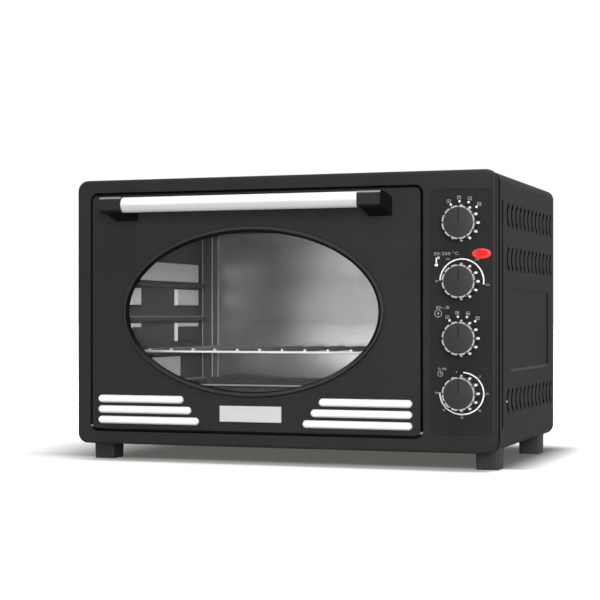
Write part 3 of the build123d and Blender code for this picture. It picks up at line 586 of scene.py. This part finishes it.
def fired_ceramic():
    """Unglazed steatite: off-white, dry and slightly pitted."""
    material, tree, surface, place = start_material("steatite_ceramic")
    pit = noise(tree, place, mm=1.2, detail=4.0)
    connect(tree, surface, {"Base Color": ramp(tree, pit, "#d9d3c7", "#efe9de"),
                            "Roughness": spread(tree, pit, 0.7, 0.85)})
    relief(tree, surface, pit, depth_mm=0.05, strength=0.3)
    return material


def screen_ink(name, low, high):
    """Screen-printed ink: flat, with tiny thin spots in its cover."""
    material, tree, surface, place = start_material(name)
    cover = noise(tree, place, mm=0.6, detail=2.0)
    connect(tree, surface, {"Base Color": ramp(tree, cover, low, high),
                            "Roughness": spread(tree, cover, 0.45, 0.6)})
    return material


finishes = {
    "black_paint": powder_coat("powder_coat_black"),
    "control_plate": control_plate(),
    "galvanised_steel": rolled_steel("galvanised_sheet", "#86888a", "#b9bbbd", rough=0.42, spangle_mm=9.0),
    "cavity_steel": pressed_sheet(),
    "tray_enamel": vitreous_enamel(),
    # the second pair of colours is painted shade on faces that turn down
    "silver_bar": silver_lacquer("silver_lacquer_aluminium", ("#f6f6f6", "#fcfcfc"), ("#cccccc", "#d2d2d2"),
                                 (-0.25, 0.15)),
    "black_plastic": moulded_plastic("phenolic_black", "#212121", "#272727",
                                     rough=0.45, grain_mm=0.8, grain_depth=0.03),
    "knob_silver": knob_trim(),
    "window_glass": window_glass(),
    "pilot_red": pilot_red(),
    "lamp_glass": moulded_plastic("lamp_envelope", "#e0b0a0", "#f0c8b8",
                                  rough=0.2, grain_mm=1.5, grain_depth=0.01),
    "heater_sheath": drawn_metal("oxidised_steel_tube", "#4a4743", "#6b6762",
                                 rough=0.5, along=0, line_mm=0.9),
    "ceramic": fired_ceramic(),
    "control_body": moulded_plastic("phenolic_brown", "#3a332c", "#463e36",
                                    rough=0.55, grain_mm=1.0, grain_depth=0.03),
    "plated_steel": drawn_metal("zinc_plated_steel", "#a9abad", "#cfd1d2",
                                rough=0.32, along=2, line_mm=0.6),
}
ink = screen_ink("screen_ink_white", "#f0f0ee", "#fafaf8")
faint_ink = screen_ink("screen_ink_grey", "#8e8e8d", "#a0a09f")

trim_turn = (-0.7, -0.15)
# the second pair of colours is painted shade on faces that turn down
bar_lacquer = silver_lacquer("silver_lacquer_bright", ("#fafafa", "#fefefe"), ("#b8b8b8", "#c0c0c0"),
                             trim_turn)
plate_lacquer = silver_lacquer("silver_lacquer_plate", ("#d2d2d2", "#dadada"), ("#c8c8c8", "#d0d0d0"),
                               trim_turn)
bracket = bracket_plastic()
foot = moulded_plastic("phenolic_foot", "#2c2c2c", "#323232", rough=0.5, grain_mm=0.8, grain_depth=0.03)

# Nodes whose finish differs from that of their slot
own_finish = {"cavity_back": bright_sheet(), "window_bezel": ring_coat(), "wire_rack": rack_chrome(),
              "outer_cover": cover_coat(), "name_plate": plate_lacquer}
own_finish.update({f"trim_bars_{side}": bar_lacquer for side in ("left", "right")})
own_finish.update({f"handle_bracket_{side}": bracket for side in ("left", "right")})
own_finish.update({f"foot_{end}_{side}": foot for end in ("front", "rear") for side in ("left", "right")})
own_finish.update({f"{name}_knob": knob_grip(name) for name in knob_names})
slot_of = {part["node"]: part["material_slot"] for part in frame["record"]["subparts"]}
for node, obj in frame["nodes"].items():
    obj.data.materials.clear()
    obj.data.materials.append(own_finish[node] if node in own_finish else finishes[slot_of[node]])


def helper(name, data):
    """An object that is put in the scene, for good or only to feed a node tree."""
    obj = bpy.data.objects.new(name, data)
    bpy.context.scene.collection.objects.link(obj)
    return obj


def piece(name, mesh, material, body):
    """A finished piece at the origin that rides on a body."""
    obj = helper(name, mesh)
    mesh.materials.clear()
    mesh.materials.append(material)
    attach(obj, body)
    return obj


def settled(obj):
    """The object's shape after its modifiers, as a plain mesh; the object itself goes."""
    bpy.context.view_layer.update()
    graph = bpy.context.evaluated_depsgraph_get()
    mesh = bpy.data.meshes.new_from_object(obj.evaluated_get(graph))
    bpy.data.objects.remove(obj)
    return mesh


def new_tree(name, inputs):
    """A geometry node tree with named inputs, and the sockets that they give."""
    tree = bpy.data.node_groups.new(name, "GeometryNodeTree")
    face = tree.interface
    face.new_socket("Geometry", in_out="INPUT", socket_type="NodeSocketGeometry")
    for label, kind in inputs.items():
        face.new_socket(label, in_out="INPUT", socket_type=f"NodeSocket{kind}")
    face.new_socket("Geometry", in_out="OUTPUT", socket_type="NodeSocketGeometry")
    return tree, add(tree, "NodeGroupInput").outputs


def copies(tree, points, shape, turn, material):
    """The tree's result: an object on each point, turned about y, in one material."""
    source = add(tree, "GeometryNodeObjectInfo", sockets={"Object": shape})
    lean = add(tree, "ShaderNodeCombineXYZ", sockets={"Y": turn}).outputs["Vector"]
    each = add(tree, "GeometryNodeInstanceOnPoints",
               sockets={"Points": points, "Instance": source.outputs["Geometry"], "Rotation": lean})
    real = add(tree, "GeometryNodeRealizeInstances", sockets={"Geometry": each.outputs["Instances"]})
    dressed = add(tree, "GeometryNodeSetMaterial",
                  sockets={"Geometry": real.outputs["Geometry"], "Material": material})
    add(tree, "NodeGroupOutput", sockets={"Geometry": dressed.outputs["Geometry"]})


def marks_tree():
    """Marks at equal angles round the origin, each turned to face it."""
    tree, given = new_tree("dial_marks", {"Marks": "Int", "First angle": "Float", "Step": "Float",
                                          "Radius": "Float", "Mark": "Object", "Ink": "Material"})
    row = add(tree, "GeometryNodeMeshLine", sockets={"Count": given["Marks"]})
    order = add(tree, "GeometryNodeInputIndex").outputs["Index"]
    turn = sum_of(tree, "MULTIPLY_ADD", order, given["Step"], given["First angle"])
    spoke = add(tree, "ShaderNodeCombineXYZ",
                sockets={"X": sum_of(tree, "SINE", turn), "Z": sum_of(tree, "COSINE", turn)})
    place = add(tree, "ShaderNodeVectorMath", {"operation": "MULTIPLY"},
                {0: spoke.outputs["Vector"], 1: given["Radius"]}).outputs["Vector"]
    laid = add(tree, "GeometryNodeSetPosition", sockets={"Geometry": row.outputs["Mesh"], "Position": place})
    copies(tree, laid.outputs["Geometry"], given["Mark"], turn, given["Ink"])
    return tree


def heads_tree():
    """Screw heads on a set of points, each stopped at its own angle."""
    tree, given = new_tree("screw_heads", {"Head": "Object", "Metal": "Material", "Seed": "Int"})
    stop = add(tree, "FunctionNodeRandomValue", {"data_type": "FLOAT"},
               {"Seed": given["Seed"], 2: 0.0, 3: math.tau})
    copies(tree, given["Geometry"], given["Head"], stop.outputs[1], given["Metal"])
    return tree


def from_tree(carrier, tree, values):
    """What a node tree makes of an object's mesh, with the tree's inputs set by name."""
    modifier = carrier.modifiers.new(tree.name, "NODES")
    modifier.node_group = tree
    for item in tree.interface.items_tree:
        if item.item_type == "SOCKET" and item.in_out == "INPUT" and item.name in values:
            modifier[item.identifier] = values[item.name]
    return settled(carrier)


# Printed scales on the control plate; their sizes are in millimetres
plate_low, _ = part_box("control_panel")
ink_out = 0.04
print_y = plate_low.y - ink_out * MM
dial_r = 25.3
line_w = 1.5
dot_r, dot_size = 24.6, 1.35
tick_half, tick_in, tick_out = 0.45, 1.0, 1.6
positions = 4
heat_first, heat_step = -31.3, 25.0  # degrees clockwise from twelve o'clock
function_first, function_step = -35.0, 24.6
heat_turns = [heat_first + heat_step * i for i in range(positions)]
function_turns = [function_first + function_step * i for i in range(positions)]
temperature_arc = (-87, 98)
timer_arc = (4, 270)
timer_squash = 0.935
minute_r, minute_turn, minutes_each, minute_count = 29.4, 45, 15, 6
icon_r = 29.0
icon_w, icon_h, icon_line = 4.4, 3.8, 0.5
icon_bar_half_w, icon_bar_half_h = icon_w * 0.32, icon_line * 0.5
icon_bar_up = 0.8
icon_dot = 0.7
figure_h = 2.4
type_per_height = 1.4


def dial_centre(name):
    """The middle of a knob, on the plate's face."""
    low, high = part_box(f"{name}_knob")
    return Vector(((low.x + high.x) / 2, print_y, (low.z + high.z) / 2))


def flat_mesh(name, outlines):
    """A flat mesh from outlines in x and z, in millimetres, facing the front."""
    mesh = bpy.data.meshes.new(name)
    shape = bmesh.new()
    for outline in outlines:
        corners = [shape.verts.new((x * MM, 0, z * MM)) for x, z in outline]
        face = shape.faces.new(corners)
        face.normal_update()
        if face.normal.y > 0:
            face.normal_flip()
    shape.to_mesh(mesh)
    shape.free()
    return mesh


def disc(x, z, r, steps=16):
    """A round outline."""
    angles = [math.tau * i / steps for i in range(steps)]
    return [(x + r * math.cos(angle), z + r * math.sin(angle)) for angle in angles]


def bar(x0, x1, z0, z1):
    """A rectangular outline."""
    return [(x0, z0), (x1, z0), (x1, z1), (x0, z1)]


def round_from(x, z, r, turn):
    """A point at a radius from another, at an angle in radians clockwise from twelve o'clock."""
    return x + r * math.sin(turn), z + r * math.cos(turn)


def band(x, z, r, width, first, last, step=4.0):
    """Quads along an arc; angles are degrees clockwise from twelve o'clock."""
    count = max(2, int(abs(last - first) / step))
    inner, outer = r - width / 2, r + width / 2
    quads = []
    for i in range(count):
        a, b = (math.radians(first + (last - first) * k / count) for k in (i, i + 1))
        quads.append([round_from(x, z, reach, turn) for reach, turn in
                      ((inner, a), (outer, a), (outer, b), (inner, b))])
    return quads


def frame_lines(x, z, w, h, t):
    """A thin rectangle, as four bars."""
    left, right, low, high = x - w / 2, x + w / 2, z - h / 2, z + h / 2
    return [bar(left, right, high - t, high), bar(left, right, low, low + t),
            bar(left, left + t, low + t, high - t), bar(right - t, right, low + t, high - t)]


def words(body, x, z, height, width=None):
    """A printed number or unit as a mesh, centred at x and z, in millimetres."""
    curve = bpy.data.curves.new("figures", "FONT")
    curve.body = body
    curve.size = height * type_per_height * MM
    curve.align_x = "CENTER"
    curve.align_y = "CENTER"
    curve.resolution_u = 3
    mesh = settled(helper("figures", curve))
    bpy.data.curves.remove(curve)
    wide = max(v.co.x for v in mesh.vertices) - min(v.co.x for v in mesh.vertices)
    squeeze = width * MM / wide if width else 1.0
    turn = Matrix.Translation((x * MM, 0, z * MM)) @ Euler((math.radians(90), 0, 0)).to_matrix().to_4x4()
    mesh.transform(turn @ Matrix.Diagonal((squeeze, 1, 1, 1)))
    return mesh


def joined(name, meshes, centre):
    """Several meshes in one, moved to a dial's centre."""
    shape = bmesh.new()
    for mesh in meshes:
        shape.from_mesh(mesh)
        bpy.data.meshes.remove(mesh)
    made = bpy.data.meshes.new(name)
    shape.to_mesh(made)
    shape.free()
    made.transform(Matrix.Translation(centre))
    return made


def marks(name, mark, count, first, step, radius):
    """Marks round a dial, from the node tree, about the origin."""
    return from_tree(helper(name, bpy.data.meshes.new(name)), dial_tree,
                     {"Marks": count, "First angle": math.radians(first), "Step": math.radians(step),
                      "Radius": radius * MM, "Mark": mark, "Ink": ink})


def dots(name, turns):
    """Dots at a switch's positions."""
    return marks(name, dot_mark, len(turns), turns[0], turns[1] - turns[0], dot_r)


def position_icons(turns, kinds):
    """Small oven outlines beside the position dots; each kind says where its heat bars are."""
    shapes = []
    for turn, kind in zip(turns, kinds):
        x, z = round_from(0, 0, icon_r, math.radians(turn))
        shapes += frame_lines(x, z, icon_w, icon_h, icon_line)
        for place, up in (("top", icon_bar_up), ("low", -icon_bar_up)):
            if place in kind:
                shapes.append(bar(x - icon_bar_half_w, x + icon_bar_half_w,
                                  z + up - icon_bar_half_h, z + up + icon_bar_half_h))
        if "mid" in kind:
            shapes.append(disc(x, z, icon_dot, 10))
    return shapes


def squashed(outlines):
    """The timer's scale is a little lower than it is wide."""
    return [[(x, z * timer_squash) for x, z in outline] for outline in outlines]


def round_sign(x, z):
    """A ring round a small flame."""
    flame = [(x, z + 2.2), (x - 1.2, z - 0.4), (x, z - 1.6), (x + 1.2, z - 0.4)]
    return band(x, z, 4.0, 0.7, 0, 360, 15) + [flame]


def clock_sign(x, z):
    """A clock face with two hands."""
    hands = [bar(x - 0.3, x + 0.3, z - 0.3, z + 2.0), bar(x - 0.3, x + 1.7, z - 0.6, z)]
    return band(x, z, 2.9, 0.6, 0, 360, 20) + hands


def thermometer_sign(x, z):
    """A bulb, a stem and a degree ring."""
    stem = bar(x - 0.7, x + 0.7, z + 0.5, z + 8.2)
    return [disc(x, z, 1.9), stem] + band(x + 2.5, z + 8.0, 1.1, 0.6, 0, 360, 30)


dial_tree = marks_tree()
dot_mark = helper("dot_mark", flat_mesh("dot_mark", [disc(0, 0, dot_size)]))
tick_mark = helper("tick_mark", flat_mesh("tick_mark", [bar(-tick_half, tick_half, -tick_in, tick_out)]))

minutes = []
for i in range(1, minute_count + 1):
    x, z = round_from(0, 0, minute_r, math.radians(minute_turn * i))
    minutes.append(words(str(minutes_each * i), x, z * timer_squash, figure_h))
ticks = marks("timer_ticks", tick_mark, minute_count, minute_turn, minute_turn, dial_r)
ticks.transform(Matrix.Diagonal((1, 1, timer_squash, 1)))
scale_print = {
    "heat": [dots("heat_dots", heat_turns)],
    "temperature": [flat_mesh("temperature_arc", band(0, 0, dial_r, line_w, *temperature_arc)
                              + thermometer_sign(-29.5, 19.0))],
    "function": [dots("function_dots", function_turns)],
    "timer": [flat_mesh("timer_arc", squashed(band(0, 0, dial_r, line_w, *timer_arc))), ticks],
}
heat_icons = position_icons(heat_turns, ("mid", "top", "low", "top low"))
function_icons = position_icons(function_turns, ("mid", "top mid", "low mid", "top low"))
label_print = {
    "heat": [flat_mesh("heat_icons", heat_icons)],
    "temperature": [words("50-250 °C", -18.0, 31.4, height=3.6, width=29.0),
                    words("50", -29.2, 0.4, figure_h), words("100", -16.4, 25.2, figure_h),
                    words("200", 17.6, 24.6, figure_h), words("250", 29.6, -4.0, figure_h)],
    "function": [flat_mesh("function_icons", function_icons + round_sign(-27.3, 28.0)),
                 words("0-3", -22.0, 34.6, height=3.4, width=15.0)],
    "timer": [flat_mesh("timer_clock", clock_sign(-24.9, 21.8)),
              words("0-90", -22.5, 27.2, height=2.8, width=9.5), words("0", -6.0, 24.0, figure_h)] + minutes,
}
for name in knob_names:
    for kind, meshes, colour in (("scale", scale_print[name], ink), ("label", label_print[name], faint_ink)):
        mesh = joined(f"{name}_{kind}_print", meshes, dial_centre(name))
        piece(f"{name}_{kind}_print", mesh, colour, "oven_body")
bpy.data.objects.remove(dot_mark)
bpy.data.objects.remove(tick_mark)


# Rear panel screws with a cross recess
head_rings = [(4.0, 0.0), (4.0, 0.7), (3.6, 1.3), (2.8, 1.75), (1.6, 1.95)]  # radius and height in mm
head_steps = 24
head_h = 2.0 * MM
recess_arm, recess_half_w = 1.9 * MM, 0.42 * MM
recess_depth = 2.0 * MM
stop_seed = 7


def recess_cutter(half_x, half_z):
    """A block that cuts one arm of the cross into a head's crown."""
    shape = bmesh.new()
    bmesh.ops.create_cube(shape, size=1.0)
    bmesh.ops.scale(shape, vec=(2 * half_x, recess_depth, 2 * half_z), verts=shape.verts)
    bmesh.ops.translate(shape, vec=(0, head_h, 0), verts=shape.verts)
    mesh = bpy.data.meshes.new("recess")
    shape.to_mesh(mesh)
    shape.free()
    return helper("recess", mesh)


def screw_head():
    """A pan head with a cross recess, its back on y = 0 and its crown towards +y."""
    shape = bmesh.new()
    loops = []
    for r, y in head_rings:
        rim = disc(0, 0, r, head_steps)
        loops.append([shape.verts.new((x * MM, y * MM, z * MM)) for x, z in rim])
    for low, high in zip(loops, loops[1:]):
        for i in range(head_steps):
            after = (i + 1) % head_steps
            shape.faces.new((low[i], low[after], high[after], high[i]))
    shape.faces.new(loops[0])
    shape.faces.new(loops[-1])
    bmesh.ops.recalc_face_normals(shape, faces=shape.faces)
    mesh = bpy.data.meshes.new("screw_head")
    shape.to_mesh(mesh)
    shape.free()
    whole = helper("screw_head", mesh)
    cutters = [recess_cutter(recess_arm, recess_half_w), recess_cutter(recess_half_w, recess_arm)]
    for cutter in cutters:
        cut = whole.modifiers.new("recess", "BOOLEAN")
        cut.operation = "DIFFERENCE"
        cut.solver = "EXACT"
        cut.object = cutter
    made = helper("rear_screw_head", settled(whole))
    for cutter in cutters:
        bpy.data.objects.remove(cutter)
    return made


def screw_points(node):
    """The middle of each separate solid in a node, where its head meets its panel."""
    shape = bmesh.new()
    shape.from_mesh(frame["nodes"][node].data)
    bmesh.ops.remove_doubles(shape, verts=shape.verts, dist=1e-6)
    left = set(shape.verts)
    points = []
    while left:
        stack = [left.pop()]
        group = []
        while stack:
            vert = stack.pop()
            group.append(vert.co)
            for edge in vert.link_edges:
                other = edge.other_vert(vert)
                if other in left:
                    left.remove(other)
                    stack.append(other)
        x = (min(co.x for co in group) + max(co.x for co in group)) / 2
        z = (min(co.z for co in group) + max(co.z for co in group)) / 2
        points.append((x, max(co.y for co in group) - head_h, z))
    shape.free()
    return points


head = screw_head()
spots = bpy.data.meshes.new("screw_spots")
spots.from_pydata(sorted(screw_points("rear_screws")), [], [])
metal = finishes["plated_steel"]
head_mesh = from_tree(helper("screw_spots", spots), heads_tree(),
                      {"Head": head, "Metal": metal, "Seed": stop_seed})
heads = piece("rear_screw_heads", head_mesh, metal, "oven_body")
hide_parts("rear_screws")
bpy.data.objects.remove(head)


# Floor, light and camera, in metres
floor_half = 30.0
paper_tone = 0.85
paper_in_metal = 0.4
lift_near, lift_far = 1.0, 2.3
lift_reach = (0.38, 0.9)
# the floor's seen tone outside and within the painted shadow beneath the case, then that shadow's edges
paper_open, paper_under = 1.15, 0.1
paper_fill = 0.105
under_left = (-0.39, -0.2)
under_right = (0.316, 0.244)
under_front = (-0.12, -0.075)
under_back = (0.3, 0.2)
sky_light = 0.45
sensor_w = 36.0
picture_px = 600.0
focal_px = 1651.0
rise_px = 16.0
eye_place = (0.671, -1.95925, 0.176)
eye_turn = 19.54


def seen_rays(tree):
    """The light path, and the share of rays that come from the eye or through glass."""
    path = add(tree, "ShaderNodeLightPath").outputs
    return path, either(tree, path["Is Camera Ray"], path["Is Transmission Ray"])


def white_floor():
    """Pale seamless paper, white to the eye and through glass, more so far off; in metal it is grey.

    Beneath the case a painted shadow lets its tone down, so that the case's shadow is soft-edged and even."""
    material, tree, surface, place = start_material("seamless_paper")
    tree.nodes.remove(surface)
    away = add(tree, "ShaderNodeVectorMath", {"operation": "LENGTH"}, {0: place}).outputs["Value"]
    spot = apart(tree, place)
    # painted shadow beneath the case, with soft edges
    sides = [("X", under_left), ("X", under_right), ("Y", under_front), ("Y", under_back)]
    shade_under = both(tree, *[grown(tree, spot[axis], reach, 0.0, 1.0, "SMOOTHSTEP") for axis, reach in sides])
    near = spread(tree, shade_under, paper_open, paper_under)
    lifted = both(tree, near, grown(tree, away, lift_reach, lift_near, lift_far))
    path, seen = seen_rays(tree)
    mirrored = spread(tree, path["Is Glossy Ray"], paper_tone, paper_in_metal)
    paper = add(tree, "ShaderNodeBsdfDiffuse", sockets={"Color": spread(tree, seen, mirrored, lifted)})
    glow = add(tree, "ShaderNodeEmission",
               sockets={"Color": shade("#fffaf2"), "Strength": both(tree, seen, paper_fill)})
    sheet = add(tree, "ShaderNodeAddShader", sockets={0: paper.outputs["BSDF"], 1: glow.outputs["Emission"]})
    connect(tree, tree.nodes["Material Output"], {"Surface": sheet.outputs["Shader"]})
    return material


def floor_mesh(half):
    """A square that faces up."""
    mesh = bpy.data.meshes.new("floor")
    corners = [(-half, -half, 0), (half, -half, 0), (half, half, 0), (-half, half, 0)]
    mesh.from_pydata(corners, [], [(0, 1, 2, 3)])
    return mesh


def soft_box(name, place, aim, size, power):
    """A rectangular soft box that points at a spot."""
    lamp = bpy.data.lights.new(name, "AREA")
    lamp.shape = "RECTANGLE"
    lamp.size, lamp.size_y = size
    lamp.energy = power
    obj = helper(name, lamp)
    obj.location = place
    obj.rotation_euler = (Vector(aim) - Vector(place)).to_track_quat("-Z", "Y").to_euler()


floor = helper("floor", floor_mesh(floor_half))
floor.data.materials.append(white_floor())

soft_box("overhead_box", place=(0.5, -0.35, 2.2), aim=(0, 0, 0.1), size=(1.8, 1.6), power=36.0)
soft_box("front_box", place=(1.1, -2.5, 0.7), aim=(-0.2, 0, 0.18), size=(1.0, 0.9), power=42.0)
soft_box("left_box", place=(-1.6, -2.0, 1.5), aim=(0, 0, 0.15), size=(1.2, 1.4), power=2.0)

sky = bpy.data.worlds.new("studio")
bpy.context.scene.world = sky
sky.use_nodes = True
_, sky_seen = seen_rays(sky.node_tree)
sky_strength = spread(sky.node_tree, sky_seen, sky_light, 1.0)
connect(sky.node_tree, sky.node_tree.nodes["Background"], {"Color": (1, 1, 1, 1), "Strength": sky_strength})

eye = bpy.data.cameras.new("eye")
eye.sensor_width = sensor_w
eye.lens = sensor_w * focal_px / picture_px
eye.shift_y = rise_px / picture_px
eye.clip_end = 100.0
camera = helper("eye", eye)
camera.location = eye_place
camera.rotation_euler = (math.radians(90), 0, math.radians(eye_turn))
bpy.context.scene.camera = camera
bpy.context.scene.view_settings.view_transform = "Standard"
